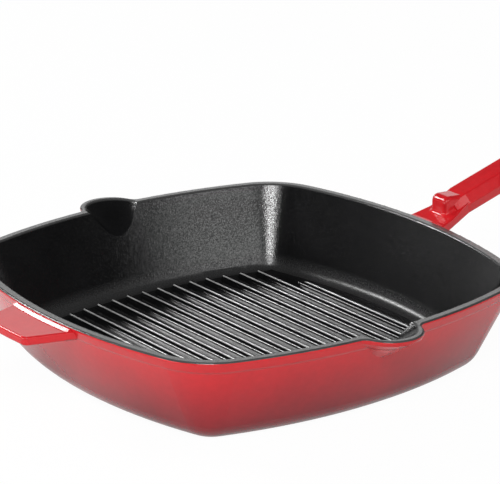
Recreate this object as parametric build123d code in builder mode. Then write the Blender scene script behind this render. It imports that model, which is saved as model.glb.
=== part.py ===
from build123d import *
from math import cos, radians, sin, tan
import os

os.makedirs("parts", exist_ok=True)

# Square grill pan cast in one piece with its handle, helper tab, spouts and ribs, then enamelled.
# Every size is taken over the finished enamel, in millimetres. Angles are in degrees.
# The origin is the middle of the face it stands on. +X runs along the main handle.

# Pan, outside
pan_width = 260.0
side_bow_radius = 296.5
corner_radius = 41.5
rim_height = 53.2
wall_draft = 25.8
base_edge_radius = 18.0

# Pan, inside
rim_width = 6.0
floor_height = 7.6
floor_edge_radius = 5.5
rim_outer_radius = 1.2
rim_inner_radius = 1.5

# Underside
foot_width = 7.0
recess_depth = 2.6
recess_corner_radius = 14.0
recess_edge_radius = 2.0

# Grill ribs
rib_count = 17
rib_pitch = 10.7
rib_height = 2.8
rib_crest_width = 1.7
rib_root_width = 3.2
rib_crest_radius = 0.7
rib_root_radius = 1.2
rib_end_margin = 36.2
rib_end_corner_radius = 1.5
rib_field_narrowing = 4.6
rib_end_slope = 20.0

# Pouring spouts
spout_reach = 14.6
spout_outer_radius = 18.5
spout_blend_radius = 6.0
spout_lip_width = 4.2
lip_band_height = 3.0
bulge_apex_back = 30.0
bulge_apex_depth = 29.9
scoop_radius = 16.5
scoop_apex_back = 32.9
scoop_apex_depth = 27.0

# Helper tab
tab_reach = 23.0
tab_tip_width = 38.0
tab_root_width = 52.5
tab_thickness = 4.8
tab_drop = 2.3
tab_cove_run = 1.6
tab_cove_drop = 0.95
tab_cove_slope = 45.0
tab_corner_radius = 4.0
tab_edge_radius = 1.1

# Main handle, shelf and thumb nose
shelf_root_width = 28.5
shelf_climb = 3.4
shelf_tuck = 0.5
shelf_end_width = 20.0
shelf_length = 21.0
shelf_step = 15.0
shelf_root_depth = 9.8
shelf_edge_radius = 1.0
nose_front = 8.8
nose_rise = 10.9
nose_radius = 4.0
nose_side_radius = 2.4
nose_back = 25.0
nose_back_drop = 1.0
nose_fillet_radius = 2.0

# Main handle, grip and hanging eye
handle_reach = 152.0
grip_front = 25.0
throat_length = 9.0
throat_narrowing = 1.4
throat_dip = 1.0
grip_rise = -0.5
grip_slope = 16.1
grip_end_slope = 5.0
grip_bend_start = 64.0
grip_bend_radius = 180.0
grip_width = 20.2
grip_top_width = 13.2
grip_bottom_width = 17.8
grip_thickness = 11.8
grip_edge_radius = 1.4
eye_radius = 13.5
eye_edge_radius = 3.0
hang_hole_radius = 5.0
hang_hole_edge_radius = 0.8

# Enamel
enamel = 0.3
coat_parting = 0.6
rim_coat_drop = 0.7
spout_strip_width = 80.0
base_coat_margin = 3.2
base_coat_height = 7.0

# Curve where the tab and the handle grow out of the wall
root_radius = 3.0

# How far a cutting or joining shape runs past the face it meets
overrun = 2.0

# How near an edge or face has to be to the place it is looked for
reach = 0.05

edge_growth = rim_outer_radius * (1 / tan(radians(45 - wall_draft / 2)) - 1)
half_width = pan_width / 2 + edge_growth
draft_run_share = tan(radians(wall_draft))
draft_skew_share = 1 / cos(radians(wall_draft))
grip_run_share = tan(radians(grip_slope))
cone_skew_share = 0.72
shelf_height = rim_height - rim_outer_radius
lip_centre = half_width + spout_reach - spout_outer_radius
scoop_centre = half_width + spout_reach - spout_lip_width - scoop_radius
handle_root_x = half_width - rim_width + rim_outer_radius
flat_start = rim_height * draft_run_share + base_edge_radius * tan(radians(45 - wall_draft / 2))


def bowed_square(inset, height, corner, narrowing=0):
    """A square with bowed sides and round corners: four large discs overlap."""
    shift = side_bow_radius - half_width
    with BuildSketch(Plane.XY.offset(height)) as square:
        with Locations((-shift, 0)):
            Circle(side_bow_radius - inset - narrowing)
        with Locations((shift, 0)):
            Circle(side_bow_radius - inset - narrowing, mode=Mode.INTERSECT)
        with Locations((0, -shift)):
            Circle(side_bow_radius - inset, mode=Mode.INTERSECT)
        with Locations((0, shift)):
            Circle(side_bow_radius - inset, mode=Mode.INTERSECT)
        fillet(square.vertices(), corner)
    return square.sketch


def tub(skin):
    """The outside of the pan without its fittings, skin millimetres under the finished face."""
    top = rim_height - skin
    inset = skin * draft_skew_share + skin * draft_run_share
    with BuildPart() as solid:
        outline = bowed_square(inset, top, corner_radius - inset)
        extrude(to_extrude=outline, amount=top - skin, dir=(0, 0, -1), taper=wall_draft)
        fillet(solid.faces().sort_by(Axis.Z)[0].edges(), base_edge_radius - skin)
        if skin < rim_outer_radius:
            fillet(solid.faces().sort_by(Axis.Z)[-1].edges(), rim_outer_radius - skin)
    return solid.part


def lip_outline(skin, level):
    """Plan of one pouring lip and the rim beside it, drawn in along the draft at a lower level."""
    lift = skin * cone_skew_share
    drawn_in = (rim_height - level) * draft_run_share
    inset = skin * draft_skew_share + overrun / 6
    band = 2 * (spout_outer_radius + spout_reach)
    with BuildSketch(Plane.XY.offset(level)) as outline:
        add(bowed_square(inset + drawn_in, level, corner_radius))
        with Locations((0, lip_centre)):
            Circle(spout_outer_radius - lift - drawn_in)
        near_lip = outline.vertices().filter_by_position(Axis.Y, half_width / 2, pan_width)
        meeting = near_lip.filter_by_position(Axis.X, -half_width / 3, half_width / 3)
        fillet(meeting, spout_blend_radius + skin + drawn_in)
        with Locations((0, lip_centre)):
            Rectangle(band, band, mode=Mode.INTERSECT)
    return outline.sketch


def spout_bulge(skin):
    """The beak under one pouring lip: a leaning cone over a disc that flows into the rim."""
    lift = skin * cone_skew_share
    lip_top = lip_outline(skin, rim_height)
    lip_foot = lip_outline(skin, rim_height - lip_band_height)
    apex = Vertex(0, half_width - bulge_apex_back, rim_height - bulge_apex_depth + lift)
    with BuildPart() as solid:
        loft(sections=[lip_foot.face(), lip_top.face()], ruled=True)
        loft(sections=[lip_foot.face(), apex], ruled=True)
        if skin:
            split(bisect_by=Plane.XY.offset(rim_height - skin), keep=Keep.BOTTOM)
        lip = solid.faces().sort_by(Axis.Z)[-1]
        outer_edges = [e for e in lip.edges() if e.center().Y > lip_centre]
        if skin < rim_outer_radius:
            fillet(outer_edges, rim_outer_radius - skin)
    return solid.part


def pan_outside(skin):
    """Tub and both spout bulges in one solid."""
    walls = tub(skin)
    front = spout_bulge(skin)
    back = mirror(front, about=Plane.XZ)
    with BuildPart() as solid:
        add(walls)
        add(front)
        add(back)
    return solid.part


def ribs(skin):
    """All the grill ribs, with their root fillets, on a thin strip of floor."""
    floor = floor_height - skin
    crest = rib_crest_width / 2 - skin * rib_crest_width / rib_root_width
    root = rib_root_width / 2 - skin
    half_strip = rib_pitch / 2 - rib_crest_radius
    with BuildSketch() as profile:
        with BuildLine():
            Polyline(
                (-half_strip, floor - overrun),
                (half_strip, floor - overrun),
                (half_strip, floor),
                (root, floor),
                (crest, floor + rib_height),
                (-crest, floor + rib_height),
                (-root, floor),
                (-half_strip, floor),
                close=True,
            )
        make_face()
        fillet(profile.vertices().group_by(Axis.Y)[-1], rib_crest_radius - skin)
        floor_line = profile.vertices().filter_by_position(Axis.Y, floor - reach, floor + reach)
        fillet(floor_line.filter_by_position(Axis.X, -rib_root_width, rib_root_width), rib_root_radius + skin)
    field = bowed_square(rib_end_margin + skin, floor + rib_height, rib_end_corner_radius, rib_field_narrowing)
    with BuildPart() as solid:
        with BuildSketch(Plane.XZ):
            with GridLocations(rib_pitch, rib_pitch, rib_count, 1):
                add(profile.sketch)
        extrude(amount=half_width, both=True)
        extrude(
            to_extrude=field,
            amount=rib_height + overrun,
            dir=(0, 0, -1),
            taper=-rib_end_slope,
            mode=Mode.INTERSECT,
        )
    return solid.part


def cooking_hollow(skin):
    """The space inside the pan, with ribs and pouring scoops, skin millimetres into the walls."""
    top = rim_height - skin
    inset = rim_width - skin * draft_skew_share + skin * draft_run_share
    corner = corner_radius - inset
    flare = rim_inner_radius + rim_outer_radius / 3
    with BuildPart() as basin:
        outline = bowed_square(inset, top, corner)
        extrude(to_extrude=outline, amount=top - floor_height + skin, dir=(0, 0, -1), taper=wall_draft)
        fillet(basin.faces().sort_by(Axis.Z)[0].edges(), floor_edge_radius + skin)
        extrude(to_extrude=bowed_square(inset - flare, top, corner), amount=overrun)
        ledge = basin.faces().filter_by_position(Axis.Z, top - reach, top + reach)[0]
        fillet(ledge.inner_wires()[0].edges(), rim_inner_radius - skin)
    lift = skin * cone_skew_share
    scoop_top_radius = scoop_radius + lift
    scoop_tip = rim_height - scoop_apex_depth - lift
    with BuildPart() as scoop:
        with BuildSketch(Plane.XY.offset(top)):
            with Locations((0, scoop_centre)):
                Circle(scoop_top_radius)
        with BuildSketch(Plane.XY.offset(scoop_tip)):
            with Locations((0, half_width - scoop_apex_back)):
                Circle(rim_inner_radius)
        loft(ruled=True)
        with BuildSketch(Plane.XY.offset(top)):
            with Locations((0, scoop_centre)):
                Circle(scoop_top_radius + flare)
        extrude(amount=overrun)
        ledge = scoop.faces().filter_by_position(Axis.Z, top - reach, top + reach)[0]
        fillet(ledge.inner_wires()[0].edges(), rim_inner_radius - skin)
    back_scoop = mirror(scoop.part, about=Plane.XZ)
    grill = ribs(skin)
    with BuildPart() as solid:
        add(basin.part)
        add(scoop.part)
        add(back_scoop)
        add(grill, mode=Mode.SUBTRACT)
    return solid.part


def underside_recess(skin):
    """The shallow recess that leaves a foot ring to stand on."""
    inset = flat_start + foot_width - skin
    with BuildPart() as solid:
        outline = bowed_square(inset, -overrun, recess_corner_radius + skin)
        extrude(to_extrude=outline, amount=recess_depth + skin + overrun)
        fillet(solid.faces().sort_by(Axis.Z)[-1].edges(), recess_edge_radius + skin)
    return solid.part


def helper_tab(skin):
    """The flat tab opposite the handle: a trapezoid whose outer edge follows the rim."""
    outline_top = rim_height - tab_drop - skin
    root_x = half_width - rim_width + rim_outer_radius / 3
    tip_x = half_width + tab_reach
    root_half = tab_root_width / 2 - skin
    tip_half = tab_tip_width / 2 - skin
    spread_share = (root_half - tip_half) / tab_reach
    inner_half = root_half + spread_share * (half_width - root_x)
    outer_half = tip_half - spread_share * overrun
    with BuildSketch(Plane.XY.offset(outline_top)) as outline:
        add(bowed_square(skin - tab_reach, outline_top, corner_radius))
        with BuildLine():
            Polyline(
                (-root_x, -inner_half),
                (-tip_x - overrun, -outer_half),
                (-tip_x - overrun, outer_half),
                (-root_x, inner_half),
                close=True,
            )
        make_face(mode=Mode.INTERSECT)
        tip = outline.vertices().filter_by_position(Axis.X, -tip_x - overrun, -half_width - tab_reach / 2)
        fillet(tip, tab_corner_radius - skin)
    with BuildPart() as solid:
        extrude(to_extrude=outline.sketch, amount=tab_thickness - 2 * skin, dir=(0, 0, -1))
        flats = solid.faces().filter_by(Axis.Z)
        rounded = [e for e in flats.edges() if e.center().X < -root_x - tab_edge_radius]
        fillet(rounded, tab_edge_radius - skin / 2)
    return solid.part


def tab_cove(skin):
    """The sloping strip between the top of the helper tab and the rim."""
    foot_height = rim_height - tab_drop - skin
    root_half = tab_root_width / 2 - skin - tab_cove_run / 3
    band = bowed_square(skin / 2 - tab_cove_run, foot_height, corner_radius)
    with BuildPart() as solid:
        extrude(to_extrude=band, amount=tab_drop - tab_cove_drop, taper=tab_cove_slope)
        with BuildSketch(Plane.XY.offset(foot_height)):
            with Locations((-half_width, 0)):
                Rectangle(rim_width + tab_cove_run, 2 * root_half)
        extrude(amount=tab_drop, mode=Mode.INTERSECT)
    return solid.part


def handle_shelf(skin):
    """The root of the handle: as wide as its plan allows and as deep as its side view allows."""
    top = shelf_height - skin
    step_x = half_width + shelf_step
    end_x = half_width + shelf_length
    deep_x = end_x + grip_thickness
    buried_z = rim_height + grip_rise + shelf_climb + (deep_x - half_width) * grip_run_share
    root_x = handle_root_x - shelf_root_depth * draft_run_share
    end_half = shelf_end_width / 2 - skin
    spread_share = (shelf_root_width - shelf_end_width) / 2 / shelf_length
    root_half = end_half + spread_share * (end_x - root_x)
    with BuildPart() as solid:
        with BuildSketch(Plane.XZ):
            with BuildLine():
                Polyline(
                    (handle_root_x, top - (half_width - handle_root_x) * grip_run_share),
                    (step_x, top + shelf_step * grip_run_share),
                    (deep_x, buried_z),
                    (deep_x, buried_z - shelf_climb - grip_thickness / 2 + skin + shelf_tuck),
                    (root_x, shelf_height - shelf_root_depth + skin),
                    close=True,
                )
            make_face()
        extrude(amount=shelf_root_width, both=True)
        with BuildSketch(Plane.XY):
            with BuildLine():
                Polyline(
                    (root_x, -root_half),
                    (end_x, -end_half),
                    (deep_x - overrun, overrun - end_half),
                    (deep_x - overrun, end_half - overrun),
                    (end_x, end_half),
                    (root_x, root_half),
                    close=True,
                )
            make_face()
        extrude(amount=pan_width, mode=Mode.INTERSECT)
        flanks = [f for f in solid.faces() if abs(f.normal_at().Y) > 1 / 2 and f.area > shelf_length]
        lengthwise = [e for f in flanks for e in f.edges() if abs(e.tangent_at(1 / 2).X) > 1 / 2]
        fillet([e for e in lengthwise if e.center().X < step_x], shelf_edge_radius)
    return solid.part


def thumb_nose(skin):
    """The upright nose at the front of the grip, with a rounded crown and rounded cheeks."""
    top = shelf_height - skin
    front_x = half_width + nose_front + skin
    back_x = half_width + nose_back
    foot = top + (front_x - half_width) * grip_run_share
    crown_z = shelf_height + nose_rise + nose_front * grip_run_share - skin
    root = foot - nose_back_drop
    with BuildPart() as solid:
        with BuildSketch(Plane.XZ) as side:
            with BuildLine():
                Polyline(
                    (front_x, root),
                    (front_x, crown_z),
                    (back_x, crown_z - nose_back_drop),
                    (back_x, root + (back_x - front_x) * grip_run_share),
                    close=True,
                )
            make_face()
            fillet(side.vertices().group_by(Axis.Y)[-1], nose_radius - skin)
        extrude(amount=grip_top_width / 2 - skin, both=True)
        cheeks = solid.faces().filter_by(Axis.Y)
        front = [e for e in cheeks.edges() if e.center().X < back_x - overrun]
        fillet([e for e in front if e.center().Z > foot + overrun], nose_side_radius - skin)
    return solid.part


def thumb_stop(skin):
    """Shelf and nose together, with the hollow curve where the thumb rests."""
    shelf = handle_shelf(skin)
    nose = thumb_nose(skin)
    step_x = half_width + shelf_step
    with BuildPart() as solid:
        add(shelf)
        add(nose)
        seam = [e for e in solid.edges(Select.NEW) if e.bounding_box().max.X < step_x + reach]
        fillet(seam, nose_fillet_radius + skin)
    return solid.part


def main_handle(skin):
    """Thumb stop, facetted grip that rises and levels out, and the hanging eye with its hole."""
    stop = thumb_stop(skin)
    run = (grip_front + skin) * grip_run_share
    start = (half_width + grip_front + skin, rim_height + grip_rise + run)
    bend_start = (start[0] + grip_bend_start, start[1] + grip_bend_start * grip_run_share)
    with BuildLine(Plane.XZ) as spine:
        rise = Line(start, bend_start)
        bend = JernArc(rise @ 1, rise % 1, grip_bend_radius, grip_end_slope - grip_slope)
        level_run = half_width + handle_reach - eye_radius - (bend @ 1).X
        level = Line(bend @ 1, bend @ 1 + (bend % 1) * (level_run / cos(radians(grip_end_slope))))
    throat_end = rise @ 0 - (rise % 0) * throat_length
    half_thick = grip_thickness / 2 - skin
    half_top = grip_top_width / 2 - skin / 2
    half_bottom = grip_bottom_width / 2 - skin
    half_waist = grip_width / 2 - skin
    with BuildPart() as grip:
        with BuildSketch(Plane(origin=rise @ 0, x_dir=(0, 1, 0), z_dir=rise % 0)) as section:
            with BuildLine():
                Polyline(
                    (-half_bottom, -half_thick),
                    (half_bottom, -half_thick),
                    (half_waist, 0),
                    (half_top, half_thick),
                    (-half_top, half_thick),
                    (-half_waist, 0),
                    close=True,
                )
            make_face()
            fillet(section.vertices(), grip_edge_radius - skin / 2)
        sweep(path=spine.wire())
        with BuildSketch(Plane(origin=throat_end, x_dir=(0, 1, 0), z_dir=rise % 0)) as throat:
            with BuildLine():
                Polyline(
                    (-half_bottom, -half_thick),
                    (half_bottom, -half_thick),
                    (half_waist - throat_narrowing, 0),
                    (half_top - throat_narrowing, half_thick - throat_dip),
                    (throat_narrowing - half_top, half_thick - throat_dip),
                    (throat_narrowing - half_waist, 0),
                    close=True,
                )
            make_face()
            fillet(throat.vertices(), grip_edge_radius - skin / 2)
        loft(sections=[section.sketch, throat.sketch], ruled=True)

    # The eye lies square to the levelled end of the grip.
    eye_axis = (-sin(radians(grip_end_slope)), 0, cos(radians(grip_end_slope)))
    eye_plane = Plane(origin=level @ 1, x_dir=(0, 1, 0), z_dir=eye_axis)
    with BuildPart() as eye:
        with BuildSketch(eye_plane.offset(-half_thick)):
            Circle(eye_radius - skin)
        extrude(amount=2 * half_thick)
        fillet(eye.edges().filter_by(GeomType.CIRCLE), eye_edge_radius - skin)
    with BuildPart() as solid:
        add(stop)
        add(grip.part)
        add(eye.part)
        with BuildSketch(eye_plane.offset(-half_thick - overrun)):
            Circle(hang_hole_radius + skin)
        extrude(amount=2 * half_thick + 2 * overrun, mode=Mode.SUBTRACT)
        rings = solid.edges().filter_by(GeomType.CIRCLE)
        mouths = [e for e in rings if abs(e.radius - hang_hole_radius - skin) < reach]
        fillet(mouths, hang_hole_edge_radius + skin)
    return solid.part


def casting(skin):
    """The whole pan with its handle and tab, skin millimetres under the finished enamel."""
    walls = pan_outside(skin)
    tab = helper_tab(skin)
    cove = tab_cove(skin)
    handle = main_handle(skin)
    hollow = cooking_hollow(skin)
    recess = underside_recess(skin)
    with BuildPart() as solid:
        add(walls)
        add(tab)
        add(cove)
        add(handle)
        fillet(solid.edges(Select.NEW), root_radius + skin)
        add(hollow, mode=Mode.SUBTRACT)
        add(recess, mode=Mode.SUBTRACT)
    return solid.part


iron_form = casting(enamel)
finished_form = casting(0)
black_walls = pan_outside(coat_parting)
rim_outline = bowed_square(-overrun / 2, rim_height - rim_coat_drop, corner_radius)
base_outline = bowed_square(flat_start - base_coat_margin, -overrun, recess_corner_radius)

# Cast iron body
with BuildPart() as cast_iron_body:
    add(iron_form)
cast_iron_body.part.label = "cast_iron_body"
export_step(cast_iron_body.part, "parts/cast_iron_body.step")

# All the enamel, and the two spaces that divide it into coats
with BuildPart() as enamel_shell:
    add(finished_form)
    add(iron_form, mode=Mode.SUBTRACT)
with BuildPart() as black_space:
    add(black_walls)
    split(bisect_by=Plane.XY.offset(base_coat_height), keep=Keep.TOP)
    with BuildSketch(Plane.XY.offset(rim_height - rim_coat_drop)):
        add(rim_outline)
        Rectangle(spout_strip_width, pan_width + 2 * spout_reach + overrun)
    extrude(amount=rim_coat_drop + overrun)
with BuildPart() as base_space:
    extrude(to_extrude=base_outline, amount=base_coat_height + overrun)

# Black enamel inside the pan and over its rim
with BuildPart() as cooking_enamel:
    add(enamel_shell.part)
    add(black_space.part, mode=Mode.INTERSECT)
cooking_enamel.part.label = "cooking_enamel"
export_step(cooking_enamel.part, "parts/cooking_enamel.step")

# Dark enamel on the foot ring and in the recess
with BuildPart() as underside_enamel:
    add(enamel_shell.part)
    add(base_space.part, mode=Mode.INTERSECT)
underside_enamel.part.label = "underside_enamel"
export_step(underside_enamel.part, "parts/underside_enamel.step")

# Red enamel on the walls, the tab and the handle
with BuildPart() as colour_enamel:
    add(enamel_shell.part)
    add(black_space.part, mode=Mode.SUBTRACT)
    add(base_space.part, mode=Mode.SUBTRACT)
colour_enamel.part.label = "colour_enamel"
export_step(colour_enamel.part, "parts/colour_enamel.step")
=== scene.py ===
import bpy
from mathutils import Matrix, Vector


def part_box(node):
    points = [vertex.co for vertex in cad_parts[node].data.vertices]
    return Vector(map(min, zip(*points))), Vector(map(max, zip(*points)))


bl_info = {
    "name": "Grill pan finish",
    "version": (1, 0, 0),
    "blender": (4, 5, 0),
    "location": "View3D > Sidebar > Grill pan",
    "description": "Enamel finishes and studio for an enamelled cast-iron grill pan",
    "category": "Material",
}

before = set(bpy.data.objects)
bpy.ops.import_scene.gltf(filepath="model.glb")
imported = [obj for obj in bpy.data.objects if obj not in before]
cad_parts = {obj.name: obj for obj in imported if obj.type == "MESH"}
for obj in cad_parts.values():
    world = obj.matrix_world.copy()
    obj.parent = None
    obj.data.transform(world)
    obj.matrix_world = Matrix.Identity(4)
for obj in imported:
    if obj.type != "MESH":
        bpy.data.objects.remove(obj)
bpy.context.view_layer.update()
RIM_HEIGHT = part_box("cooking_enamel")[1][2]
HALF_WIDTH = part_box("cooking_enamel")[1][0]

# Noise nodes: their middle, and how far most of their values lie from it
NOISE_MIDDLE = 0.5
NOISE_REACH = 0.2

# Layout of a node tree in the editor
TREE_COLUMNS = 7
COLUMN_WIDTH = 220
ROW_HEIGHT = 260


class RedEnamelSettings(bpy.types.PropertyGroup):
    """Colours and surface of the glossy enamel outside the pan."""

    bright: bpy.props.FloatVectorProperty(
        name="Bright red",
        description="Colour of the band under the rim, the tab and the handle",
        subtype="COLOR",
        size=3,
        min=0.0,
        max=1.0,
        default=(0.540, 0.013, 0.018),
    )
    middle: bpy.props.FloatVectorProperty(
        name="Middle red",
        description="Colour halfway down the wall",
        subtype="COLOR",
        size=3,
        min=0.0,
        max=1.0,
        default=(0.455, 0.012, 0.018),
    )
    deep: bpy.props.FloatVectorProperty(
        name="Deep red",
        description="Colour of the wall where it turns under",
        subtype="COLOR",
        size=3,
        min=0.0,
        max=1.0,
        default=(0.085, 0.010, 0.015),
    )
    bright_share: bpy.props.FloatProperty(
        name="Bright from",
        description="Share of the rim's height where the bright red starts",
        min=0.0,
        max=1.0,
        default=0.95,
    )
    middle_share: bpy.props.FloatProperty(
        name="Middle at",
        description="Share of the rim's height where the middle red lies",
        min=0.0,
        max=1.0,
        default=0.62,
    )
    deep_share: bpy.props.FloatProperty(
        name="Deep up to",
        description="Share of the rim's height where the deep red ends",
        min=0.0,
        max=1.0,
        default=0.05,
    )
    gloss: bpy.props.FloatProperty(
        name="Roughness",
        description="Mean roughness of the fired glaze",
        min=0.0,
        max=1.0,
        default=0.16,
    )
    sheen: bpy.props.FloatProperty(
        name="Sheen",
        description="Strength of the mirror-like reflection",
        min=0.0,
        max=1.0,
        default=0.33,
    )
    band_height: bpy.props.FloatProperty(
        name="Band height",
        description="Height of the raised band under the rim",
        subtype="DISTANCE",
        unit="LENGTH",
        default=0.0065,
    )
    band_step: bpy.props.FloatProperty(
        name="Band step",
        description="How far the raised band stands proud of the wall",
        subtype="DISTANCE",
        unit="LENGTH",
        default=0.0005,
    )
    peel_depth: bpy.props.FloatProperty(
        name="Orange peel",
        description="Depth of the slow waves in the glaze",
        subtype="DISTANCE",
        unit="LENGTH",
        default=0.00006,
    )


class BlackEnamelSettings(bpy.types.PropertyGroup):
    """Colour and grain of the matte enamel inside the pan."""

    colour: bpy.props.FloatVectorProperty(
        name="Black",
        description="Colour of the enamel on the cooking surface",
        subtype="COLOR",
        size=3,
        min=0.0,
        max=1.0,
        default=(0.004, 0.004, 0.0043),
    )
    # Pale colour painted on the rib crests as highlight (partly rubbed enamel), on the rim as sheen
    # and on the floor beside the ribs as light
    wear_and_sheen: bpy.props.FloatVectorProperty(
        name="Worn edges",
        description="Colour of the enamel where the rib crests are rubbed",
        subtype="COLOR",
        size=3,
        min=0.0,
        max=1.0,
        default=(0.55, 0.55, 0.55),
    )
    # Share of the pale colour painted on the rim as sheen
    rim_painted_sheen: bpy.props.FloatProperty(
        name="Rim paleness",
        description="How far the rim takes on the worn colour",
        min=0.0,
        max=1.0,
        default=0.13,
    )
    # Share of the pale colour painted on the floor beside the ribs as light
    foot_painted_light: bpy.props.FloatProperty(
        name="Foot paleness",
        description="How far the floor beside the ribs takes on the worn colour",
        min=0.0,
        max=1.0,
        default=0.035,
    )
    rib_field: bpy.props.FloatProperty(
        name="Rib field",
        description="Half the width of the part of the floor that has ribs",
        subtype="DISTANCE",
        unit="LENGTH",
        default=0.098,
    )
    side_bow: bpy.props.FloatProperty(
        name="Side bow",
        description="Half the curvature of the bowed sides, per metre",
        default=1.686,
    )
    crest_height: bpy.props.FloatProperty(
        name="Crest height",
        description="Height of the rib crests over the base plane",
        subtype="DISTANCE",
        unit="LENGTH",
        default=0.0104,
    )
    roughness: bpy.props.FloatProperty(
        name="Roughness",
        description="Mean roughness of the matte enamel",
        min=0.0,
        max=1.0,
        default=0.19,
    )
    foot_roughness: bpy.props.FloatProperty(
        name="Foot roughness",
        description="How much rougher the floor beside the ribs is",
        min=0.0,
        max=1.0,
        default=0.14,
    )
    sheen: bpy.props.FloatProperty(
        name="Sheen",
        description="Mean strength of the mirror-like reflection",
        min=0.0,
        max=1.0,
        default=0.50,
    )
    grain_size: bpy.props.FloatProperty(
        name="Grain size",
        description="Distance between the grains of the matte enamel",
        subtype="DISTANCE",
        unit="LENGTH",
        default=0.0009,
    )
    grain_depth: bpy.props.FloatProperty(
        name="Grain depth",
        description="Height of the grains of the matte enamel",
        subtype="DISTANCE",
        unit="LENGTH",
        default=0.00010,
    )


class BaseEnamelSettings(bpy.types.PropertyGroup):
    """Colour of the dark enamel under the pan and of the iron that the coats cover."""

    colour: bpy.props.FloatVectorProperty(
        name="Base colour",
        description="Colour of the enamel on the foot ring and in the recess",
        subtype="COLOR",
        size=3,
        min=0.0,
        max=1.0,
        default=(0.040, 0.010, 0.013),
    )
    scuff: bpy.props.FloatVectorProperty(
        name="Scuffs",
        description="Colour of the foot ring where it rubs on the stove",
        subtype="COLOR",
        size=3,
        min=0.0,
        max=1.0,
        default=(0.090, 0.085, 0.085),
    )
    iron: bpy.props.FloatVectorProperty(
        name="Iron",
        description="Colour of the bare casting",
        subtype="COLOR",
        size=3,
        min=0.0,
        max=1.0,
        default=(0.120, 0.120, 0.125),
    )


class StudioSettings(bpy.types.PropertyGroup):
    """Floor, lamps and camera."""

    floor_colour: bpy.props.FloatVectorProperty(
        name="Floor",
        description="Colour of the pale floor",
        subtype="COLOR",
        size=3,
        min=0.0,
        max=1.0,
        default=(0.86, 0.86, 0.86),
    )
    floor_glow: bpy.props.FloatProperty(
        name="Floor glow",
        description="Share of the floor's colour that no shadow reaches",
        min=0.0,
        max=1.0,
        default=0.97,
    )
    sky: bpy.props.FloatProperty(
        name="Room light",
        description="Strength of the even light from all around",
        min=0.0,
        default=0.28,
    )
    ceiling: bpy.props.FloatProperty(
        name="Ceiling",
        description="Brightness of the room overhead, where its horizon is white",
        min=0.0,
        max=1.0,
        default=0.05,
    )
    key_power: bpy.props.FloatProperty(
        name="Key light",
        description="Power of the small soft box beside the camera",
        unit="POWER",
        min=0.0,
        default=26.0,
    )
    front_power: bpy.props.FloatProperty(
        name="Front light",
        description="Power of the wide soft box at the front right",
        unit="POWER",
        min=0.0,
        default=8.0,
    )
    back_power: bpy.props.FloatProperty(
        name="Back light",
        description="Power of the soft box behind and to the left",
        unit="POWER",
        min=0.0,
        default=26.0,
    )
    side_power: bpy.props.FloatProperty(
        name="Side light",
        description="Power of the low panel on the left",
        unit="POWER",
        min=0.0,
        default=10.0,
    )
    glow_power: bpy.props.FloatProperty(
        name="Backdrop light",
        description="Power of the dim panel behind, which pales the level surfaces",
        unit="POWER",
        min=0.0,
        default=6.0,
    )
    lens: bpy.props.FloatProperty(
        name="Lens",
        description="Focal length of the camera in millimetres",
        min=1.0,
        default=212.34,
    )


class Wiring:
    """Adds shader nodes to one node tree and links them."""

    def __init__(self, tree):
        self.tree = tree
        self.tree.nodes.clear()

    def node(self, kind, **settings):
        row, column = divmod(len(self.tree.nodes), TREE_COLUMNS)
        made = self.tree.nodes.new(kind)
        made.location = (COLUMN_WIDTH * column, -ROW_HEIGHT * row)
        for key, value in settings.items():
            setattr(made, key, value)
        return made

    def fill(self, socket, value):
        """Links a socket to another one, or sets it to a number or colour."""
        if isinstance(value, bpy.types.NodeSocket):
            self.tree.links.new(value, socket)
        else:
            socket.default_value = value

    def put(self, node, **values):
        """Fills the sockets whose names are given, with spaces written as underscores."""
        for key, value in values.items():
            self.fill(node.inputs[key.replace("_", " ")], value)
        return node

    def math(self, operation, first, second=None):
        made = self.node("ShaderNodeMath", operation=operation)
        self.fill(made.inputs[0], first)
        if second is not None:
            self.fill(made.inputs[1], second)
        return made.outputs[0]

    def spread(self, value, low, high, to_low, to_high, kind="LINEAR"):
        made = self.node("ShaderNodeMapRange", interpolation_type=kind)
        self.put(made, Value=value, From_Min=low, From_Max=high, To_Min=to_low, To_Max=to_high)
        return made.outputs["Result"]

    def fade(self, value, low, high, to_low, to_high):
        return self.spread(value, low, high, to_low, to_high, kind="SMOOTHSTEP")

    def vary(self, noise, to_low, to_high, reach=NOISE_REACH):
        """Spreads a noise, as far as it mostly reaches, over a range."""
        return self.spread(noise, NOISE_MIDDLE - reach, NOISE_MIDDLE + reach, to_low, to_high)

    def noise(self, place, spacing, detail=2.0, roughness=0.5):
        made = self.node("ShaderNodeTexNoise")
        self.put(made, Vector=place, Scale=1.0 / spacing, Detail=detail, Roughness=roughness)
        return made.outputs["Fac"]

    def bump(self, height, depth, under=None):
        made = self.node("ShaderNodeBump")
        self.put(made, Strength=1.0, Distance=depth, Height=height)
        if under is not None:
            self.put(made, Normal=under)
        return made.outputs["Normal"]

    def mix(self, share, first, second):
        made = self.node("ShaderNodeMix", data_type="RGBA")
        colours = [socket for socket in made.inputs if socket.type == "RGBA"]
        self.fill(made.inputs[0], share)
        self.fill(colours[0], first)
        self.fill(colours[1], second)
        return next(socket for socket in made.outputs if socket.type == "RGBA")

    def mix_shaders(self, share, first, second):
        made = self.node("ShaderNodeMixShader")
        for socket, value in zip(made.inputs, (share, first, second)):
            self.fill(socket, value)
        return made.outputs[0]

    def place(self):
        return self.node("ShaderNodeTexCoord").outputs["Object"]

    def split(self, vector):
        return self.put(self.node("ShaderNodeSeparateXYZ"), Vector=vector).outputs

    def close(self, shader, kind="ShaderNodeOutputMaterial"):
        """Ends the tree with its output."""
        self.put(self.node(kind), Surface=shader)


def rgba(colour, factor=1.0):
    """A colour with an alpha of one, made darker or paler by a factor."""
    return (*(channel * factor for channel in colour), 1.0)


def new_material(name):
    material = bpy.data.materials.new(name)
    material.use_nodes = True
    return material


def dress(node_name, material):
    """Gives a CAD piece its material."""
    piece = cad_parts[node_name]
    piece.data.materials.clear()
    piece.data.materials.append(material)


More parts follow.
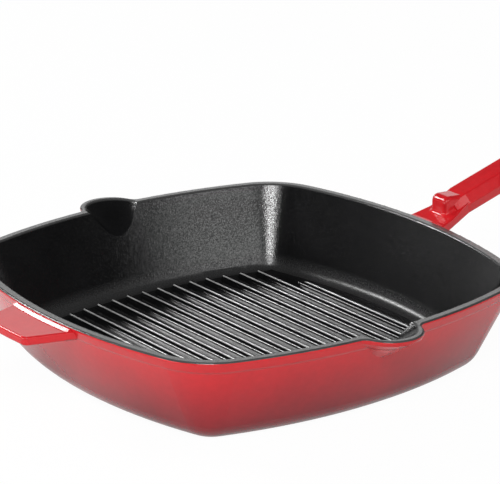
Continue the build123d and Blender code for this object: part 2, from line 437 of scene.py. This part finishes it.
# Red enamel: distance between the marks of each pattern, in metres
DRIFT_SPACING = 0.035
MOTTLE_SPACING = 0.004
STREAK_SPACING = 0.020
PEEL_SPACING = 0.0045

# Red enamel: how far each pattern reaches
DRIFT_RISE = 0.003
MOTTLE_CHANGE = 0.07
MOTTLE_REACH = 0.25
STREAK_LOW = -0.03
STREAK_HIGH = 0.04

# Red enamel: Pointiness at which the coat starts to thin and is thinnest, and what shows there
EDGE_START = 0.505
EDGE_END = 0.56
EDGE_SHARE = 0.35
EDGE_DARKNESS = 0.45

# Red enamel: half the width of the band's lower edge, and how far past the pan's sides it may run
BAND_BLUR = 0.0006
BAND_MARGIN = 0.002

# Red enamel: refractive index of the glaze
RED_IOR = 1.52


class RedEnamel(bpy.types.Operator):
    """Glossy red enamel that darkens towards the base, with a raised band under the rim"""

    bl_idname = "grillpan.red_enamel"
    bl_label = "Red enamel"

    def shade(self, w, look, place, z):
        drift = w.noise(place, DRIFT_SPACING, detail=3.0)
        height = w.math("ADD", z, w.vary(drift, -DRIFT_RISE, DRIFT_RISE))
        ramp = w.node("ShaderNodeValToRGB")
        ramp.color_ramp.interpolation = "B_SPLINE"
        stops = ramp.color_ramp.elements
        stops[0].position = look.deep_share
        stops[0].color = rgba(look.deep)
        stops[1].position = look.middle_share
        stops[1].color = rgba(look.middle)
        stops.new(look.bright_share).color = rgba(look.bright)
        w.put(ramp, Fac=w.spread(height, 0.0, RIM_HEIGHT, 0.0, 1.0))
        mottle = w.noise(place, MOTTLE_SPACING, detail=4.0, roughness=0.6)
        cloud = w.vary(mottle, 1.0 - MOTTLE_CHANGE, 1.0 + MOTTLE_CHANGE, reach=MOTTLE_REACH)
        tint = w.put(w.node("ShaderNodeHueSaturation"), Color=ramp.outputs["Color"], Value=cloud)
        edge = w.node("ShaderNodeNewGeometry").outputs["Pointiness"]
        thin = w.spread(edge, EDGE_START, EDGE_END, 0.0, EDGE_SHARE)
        return w.mix(thin, tint.outputs["Color"], rgba(look.bright, EDGE_DARKNESS))

    def relief(self, w, look, place, x, z):
        peel = w.bump(w.noise(place, PEEL_SPACING, detail=1.0), look.peel_depth)
        band_foot = RIM_HEIGHT - look.band_height
        step = w.fade(z, band_foot - BAND_BLUR, band_foot + BAND_BLUR, 0.0, 1.0)
        on_pan = w.math("LESS_THAN", w.math("ABSOLUTE", x), HALF_WIDTH + BAND_MARGIN)
        return w.bump(w.math("MULTIPLY", step, on_pan), look.band_step, under=peel)

    def execute(self, context):
        look = context.scene.grillpan_red
        material = new_material("red_enamel")
        w = Wiring(material.node_tree)
        place = w.place()
        x, y, z = w.split(place)
        streak = w.noise(place, STREAK_SPACING, detail=5.0, roughness=0.7)
        shader = w.put(
            w.node("ShaderNodeBsdfPrincipled"),
            Base_Color=self.shade(w, look, place, z),
            Roughness=w.vary(streak, look.gloss + STREAK_LOW, look.gloss + STREAK_HIGH),
            Normal=self.relief(w, look, place, x, z),
            IOR=RED_IOR,
            Specular_IOR_Level=look.sheen,
        )
        w.close(shader.outputs["BSDF"])
        dress("colour_enamel", material)
        return {"FINISHED"}


# Black enamel: distance between the marks of each pattern, in metres or in grains
CLOUD_SPACING = 0.020
PATCH_SPACING = 0.006
COARSE_GRAINS = 3.0
SHINE_GRAINS = 0.85

# Black enamel: how dark and how pale its clouds are
CLOUD_DARKEST = 0.75
CLOUD_PALEST = 1.35

# Black enamel: depths below a rib's crest where its painted highlight, partly rubbed enamel,
# starts, is full, fades and ends
GLINT_WEAR_START = 0.0009
GLINT_WEAR_FULL = 0.0004
GLINT_WEAR_FADE = 0.00012
GLINT_WEAR_END = 0.00002

# Black enamel: share of the painted highlight and rubbing where a patch shows it least
GLINT_WEAR_LEAST = 0.55

# Black enamel: height over the crests where the foot of the walls, with its painted light and added
# roughness, ends
FOOT_HEIGHT = 0.006

# Black enamel: depths below the rim where its painted sheen starts and is full, and its share
LIP_START = 0.0012
LIP_FULL = 0.0002
LIP_SHARE = 0.8

# Black enamel: change of roughness and shine from grain to grain
GRAIN_REACH = 0.25
GRAIN_ROUGHNESS = 0.07
SHINE_REACH = 0.14
SHINE_CHANGE = 0.5

# Black enamel: share of the depth that coarse grains have, and that all have down to the crests
COARSE_SHARE = 0.5
FLOOR_GRAIN_SHARE = 0.15

# Black enamel: height over the crests where the grain is at full depth
GRAIN_RISE = 0.004

# Black enamel: refractive index
BLACK_IOR = 1.5


class BlackEnamel(bpy.types.Operator):
    """Matte black enamel with a fine pebbled grain on the cooking surface and the rim"""

    bl_idname = "grillpan.black_enamel"
    bl_label = "Black enamel"

    def rib_field(self, w, look, x, y):
        across, along = w.math("ABSOLUTE", x), w.math("ABSOLUTE", y)
        bow_x = w.math("MULTIPLY", w.math("MULTIPLY", along, along), look.side_bow)
        bow_y = w.math("MULTIPLY", w.math("MULTIPLY", across, across), look.side_bow)
        reach = w.math("MAXIMUM", w.math("ADD", across, bow_x), w.math("ADD", along, bow_y))
        return w.math("LESS_THAN", reach, look.rib_field)

    # Mask of the painted highlight along the rib crests, partly rubbed enamel, in patches
    def crest_glint_and_wear(self, w, look, place, z):
        crest = look.crest_height
        up = w.fade(z, crest - GLINT_WEAR_START, crest - GLINT_WEAR_FULL, 0.0, 1.0)
        down = w.fade(z, crest - GLINT_WEAR_FADE, crest - GLINT_WEAR_END, 1.0, 0.0)
        patches = w.noise(place, PATCH_SPACING, detail=3.0)
        return w.math("MULTIPLY", w.math("MULTIPLY", up, down), w.vary(patches, GLINT_WEAR_LEAST, 1.0))

    def shade(self, w, look, place, z, on_ribs, foot):
        cloud = w.vary(w.noise(place, CLOUD_SPACING, detail=4.0), 0.0, 1.0)
        shade = w.mix(cloud, rgba(look.colour, CLOUD_DARKEST), rgba(look.colour, CLOUD_PALEST))
        # Painted highlight along the rib crests, partly rubbed enamel
        glint_and_wear_on_ribs = w.math("MULTIPLY", self.crest_glint_and_wear(w, look, place, z), on_ribs)
        shade = w.mix(glint_and_wear_on_ribs, shade, rgba(look.wear_and_sheen))
        # Painted light on the floor beside the ribs
        shade = w.mix(w.math("MULTIPLY", foot, look.foot_painted_light), shade, rgba(look.wear_and_sheen))
        # Painted sheen on the rim
        lip = w.fade(z, RIM_HEIGHT - LIP_START, RIM_HEIGHT - LIP_FULL, 0.0, LIP_SHARE)
        return w.mix(lip, shade, rgba(look.wear_and_sheen, look.rim_painted_sheen))

    def relief(self, w, look, place, z, fine):
        crest = look.crest_height
        wall = w.spread(z, crest, crest + GRAIN_RISE, FLOOR_GRAIN_SHARE, 1.0)
        coarse = w.noise(place, look.grain_size * COARSE_GRAINS, detail=2.0)
        waves = w.bump(w.math("MULTIPLY", coarse, wall), look.grain_depth * COARSE_SHARE)
        return w.bump(w.math("MULTIPLY", fine, wall), look.grain_depth, under=waves)

    def execute(self, context):
        look = context.scene.grillpan_black
        material = new_material("black_enamel")
        w = Wiring(material.node_tree)
        place = w.place()
        x, y, z = w.split(place)
        crest = look.crest_height
        on_ribs = self.rib_field(w, look, x, y)
        beside = w.math("SUBTRACT", 1.0, on_ribs)
        foot = w.math("MULTIPLY", w.spread(z, crest, crest + FOOT_HEIGHT, 1.0, 0.0), beside)
        fine = w.noise(place, look.grain_size, detail=2.5, roughness=0.6)
        smooth, coarse = look.roughness - GRAIN_ROUGHNESS, look.roughness + GRAIN_ROUGHNESS
        rough = w.vary(fine, smooth, coarse, reach=GRAIN_REACH)
        grains = w.noise(place, look.grain_size * SHINE_GRAINS, detail=1.5)
        dull, bright = look.sheen * (1.0 - SHINE_CHANGE), look.sheen * (1.0 + SHINE_CHANGE)
        shader = w.put(
            w.node("ShaderNodeBsdfPrincipled"),
            Base_Color=self.shade(w, look, place, z, on_ribs, foot),
            Roughness=w.math("ADD", rough, w.math("MULTIPLY", foot, look.foot_roughness)),
            Normal=self.relief(w, look, place, z, fine),
            IOR=BLACK_IOR,
            Specular_IOR_Level=w.vary(grains, dull, bright, reach=SHINE_REACH),
        )
        w.close(shader.outputs["BSDF"])
        dress("cooking_enamel", material)
        return {"FINISHED"}


# Base enamel: distance between the marks of each pattern, in metres
BASE_CLOUD_SPACING = 0.015
SCRATCH_SPACING = 0.0012

# Base enamel: how pale its clouds are, and how strongly they show
BASE_CLOUD_PALEST = 1.6
BASE_CLOUD_SHARE = 0.6

# Base enamel: noise values where a scratch starts to show and is full, and its share there
SCRATCH_START = 0.55
SCRATCH_FULL = 0.70
SCRATCH_SHARE = 0.5

# Base enamel: how high up the foot ring the scuffs go, and the depth of a scratch
SCUFF_HEIGHT = 0.0006
SCRATCH_DEPTH = 0.00008

# Base enamel: ends of its roughness, and its refractive index
BASE_SMOOTHEST = 0.30
BASE_ROUGHEST = 0.48
BASE_IOR = 1.5


class BaseEnamel(bpy.types.Operator):
    """Dark enamel under the pan, a little scuffed where it stands"""

    bl_idname = "grillpan.base_enamel"
    bl_label = "Base enamel"

    def execute(self, context):
        look = context.scene.grillpan_base
        material = new_material("base_enamel")
        w = Wiring(material.node_tree)
        place = w.place()
        x, y, z = w.split(place)
        cloud = w.vary(w.noise(place, BASE_CLOUD_SPACING, detail=4.0), 0.0, BASE_CLOUD_SHARE)
        shade = w.mix(cloud, rgba(look.colour), rgba(look.colour, BASE_CLOUD_PALEST))
        scratch = w.noise(place, SCRATCH_SPACING, detail=4.0, roughness=0.7)
        scraped = w.spread(scratch, SCRATCH_START, SCRATCH_FULL, 0.0, SCRATCH_SHARE)
        wear_and_sheen = w.math("MULTIPLY", scraped, w.spread(z, 0.0, SCUFF_HEIGHT, 1.0, 0.0))
        shader = w.put(
            w.node("ShaderNodeBsdfPrincipled"),
            Base_Color=w.mix(wear_and_sheen, shade, rgba(look.scuff)),
            Roughness=w.vary(scratch, BASE_SMOOTHEST, BASE_ROUGHEST),
            Normal=w.bump(scratch, SCRATCH_DEPTH),
            IOR=BASE_IOR,
        )
        w.close(shader.outputs["BSDF"])
        dress("underside_enamel", material)
        return {"FINISHED"}


# Cast iron: spacing, depth and colours of the sandy skin that the mould leaves
SAND_SPACING = 0.0011
SAND_DEPTH = 0.0002
SAND_DARKEST = 0.7
SAND_PALEST = 1.3

# Cast iron: ends of its roughness, and how metallic it is
IRON_SMOOTHEST = 0.50
IRON_ROUGHEST = 0.75
IRON_METALLIC = 0.8


class CastIron(bpy.types.Operator):
    """Bare grey iron with a sandy skin, under the enamel"""

    bl_idname = "grillpan.cast_iron"
    bl_label = "Cast iron"

    def execute(self, context):
        look = context.scene.grillpan_base
        material = new_material("cast_iron")
        w = Wiring(material.node_tree)
        sand = w.noise(w.place(), SAND_SPACING, detail=4.0, roughness=0.65)
        shares = w.vary(sand, 0.0, 1.0)
        shader = w.put(
            w.node("ShaderNodeBsdfPrincipled"),
            Base_Color=w.mix(shares, rgba(look.iron, SAND_DARKEST), rgba(look.iron, SAND_PALEST)),
            Roughness=w.vary(sand, IRON_SMOOTHEST, IRON_ROUGHEST),
            Normal=w.bump(sand, SAND_DEPTH),
            Metallic=IRON_METALLIC,
        )
        w.close(shader.outputs["BSDF"])
        dress("cast_iron_body", material)
        return {"FINISHED"}


# Studio: the floor's half width in metres, and the share of its glow that mirrors see
FLOOR_REACH = 9.0
MIRRORED_SHARE = 0.4

# Studio: heights, as the sine of the angle over the horizon, between which the room darkens
HORIZON_START = 0.02
HORIZON_END = 0.22

# Studio: each lamp's name, place, width, height and the setting that holds its power
LAMPS = (
    ("key_box", (-1.03, -1.19, 1.26), 0.70, 0.50, "key_power"),
    ("front_box", (0.22, -1.72, 1.00), 1.30, 0.60, "front_power"),
    ("back_box", (-0.80, 1.69, 1.16), 0.60, 0.45, "back_power"),
    ("side_panel", (-1.80, 0.30, 0.28), 1.20, 0.30, "side_power"),
    ("backdrop_glow", (1.50, 2.37, 1.05), 1.60, 1.00, "glow_power"),
)
LAMP_AIM = (0.0, 0.0, 0.03)

# Studio: the camera's place and aim in metres, and its sensor in millimetres
CAMERA_PLACE = (-0.90623, -1.21562, 0.58495)
CAMERA_AIM = (0.084087, 0.104894, 0.020)
SENSOR_WIDTH = 36.0
CLIP_START = 0.1
CLIP_END = 50.0


def point_at(thing, place, aim):
    """Places a lamp or the camera and turns it to what it looks at."""
    thing.location = place
    thing.rotation_euler = (Vector(aim) - thing.location).to_track_quat("-Z", "Y").to_euler()


class Studio(bpy.types.Operator):
    """Pale floor, soft boxes, white surroundings and the camera"""

    bl_idname = "grillpan.studio"
    bl_label = "Studio"

    def floor(self, scene, look):
        mesh = bpy.data.meshes.new("floor")
        corners = [(-1, -1), (1, -1), (1, 1), (-1, 1)]
        points = [(FLOOR_REACH * x, FLOOR_REACH * y, 0.0) for x, y in corners]
        mesh.from_pydata(points, [], [(0, 1, 2, 3)])
        floor = bpy.data.objects.new("floor", mesh)
        scene.collection.objects.link(floor)
        material = new_material("floor_paper")
        w = Wiring(material.node_tree)
        path = w.node("ShaderNodeLightPath").outputs
        seen = w.math("MULTIPLY", path["Is Camera Ray"], look.floor_glow)
        mirrors = w.math("MAXIMUM", path["Is Glossy Ray"], path["Is Transmission Ray"])
        mirrored = w.math("MULTIPLY", mirrors, look.floor_glow * MIRRORED_SHARE)
        paper = w.put(w.node("ShaderNodeBsdfDiffuse"), Color=rgba(look.floor_colour))
        glow = w.put(w.node("ShaderNodeEmission"), Strength=1.0)
        w.close(w.mix_shaders(w.math("MAXIMUM", seen, mirrored), paper.outputs[0], glow.outputs[0]))
        mesh.materials.append(material)

    def room(self, scene, look):
        world = bpy.data.worlds.new("studio_room")
        world.use_nodes = True
        scene.world = world
        w = Wiring(world.node_tree)
        path = w.node("ShaderNodeLightPath").outputs
        x, y, z = w.split(w.node("ShaderNodeTexCoord").outputs["Generated"])
        horizon = w.fade(z, HORIZON_START, HORIZON_END, 1.0, look.ceiling)
        brightness = w.math("MAXIMUM", path["Is Camera Ray"], horizon)
        dim = w.put(w.node("ShaderNodeBackground"), Strength=look.sky)
        white = w.put(w.node("ShaderNodeBackground"), Strength=brightness)
        mirrors = w.math("MAXIMUM", path["Is Glossy Ray"], path["Is Transmission Ray"])
        seen = w.math("MAXIMUM", path["Is Camera Ray"], mirrors)
        shader = w.mix_shaders(seen, dim.outputs[0], white.outputs[0])
        w.close(shader, kind="ShaderNodeOutputWorld")

    def lamps(self, scene, look):
        for name, place, width, height, power in LAMPS:
            lamp = bpy.data.lights.new(name, "AREA")
            lamp.shape = "RECTANGLE"
            lamp.size = width
            lamp.size_y = height
            lamp.energy = getattr(look, power)
            box = bpy.data.objects.new(name, lamp)
            point_at(box, place, LAMP_AIM)
            scene.collection.objects.link(box)

    def camera(self, scene, look):
        camera = bpy.data.cameras.new("camera")
        camera.sensor_fit = "HORIZONTAL"
        camera.sensor_width = SENSOR_WIDTH
        camera.lens = look.lens
        camera.clip_start = CLIP_START
        camera.clip_end = CLIP_END
        eye = bpy.data.objects.new("camera", camera)
        point_at(eye, CAMERA_PLACE, CAMERA_AIM)
        scene.collection.objects.link(eye)
        scene.camera = eye

    def execute(self, context):
        scene = context.scene
        look = scene.grillpan_studio
        scene.view_settings.view_transform = "Standard"
        self.floor(scene, look)
        self.room(scene, look)
        self.lamps(scene, look)
        self.camera(scene, look)
        return {"FINISHED"}


OPERATORS = (RedEnamel, BlackEnamel, BaseEnamel, CastIron, Studio)
SETTINGS = {
    "grillpan_red": RedEnamelSettings,
    "grillpan_black": BlackEnamelSettings,
    "grillpan_base": BaseEnamelSettings,
    "grillpan_studio": StudioSettings,
}


class GrillPanPanel(bpy.types.Panel):
    """Lists the steps that finish the grill pan, and their settings"""

    bl_idname = "VIEW3D_PT_grill_pan"
    bl_label = "Grill pan"
    bl_space_type = "VIEW_3D"
    bl_region_type = "UI"
    bl_category = "Grill pan"

    def draw(self, context):
        for operator in OPERATORS:
            self.layout.operator(operator.bl_idname)
        for name in SETTINGS:
            settings = getattr(context.scene, name)
            box = self.layout.box()
            for key in settings.__annotations__:
                box.prop(settings, key)


def register():
    for name, group in SETTINGS.items():
        bpy.utils.register_class(group)
        setattr(bpy.types.Scene, name, bpy.props.PointerProperty(type=group))
    for operator in OPERATORS:
        bpy.utils.register_class(operator)
    bpy.utils.register_class(GrillPanPanel)


def unregister():
    bpy.utils.unregister_class(GrillPanPanel)
    for operator in reversed(OPERATORS):
        bpy.utils.unregister_class(operator)
    for name, group in reversed(SETTINGS.items()):
        delattr(bpy.types.Scene, name)
        bpy.utils.unregister_class(group)


def main():
    register()
    bpy.ops.grillpan.red_enamel()
    bpy.ops.grillpan.black_enamel()
    bpy.ops.grillpan.base_enamel()
    bpy.ops.grillpan.cast_iron()
    bpy.ops.grillpan.studio()


if __name__ == "__main__":
    main()
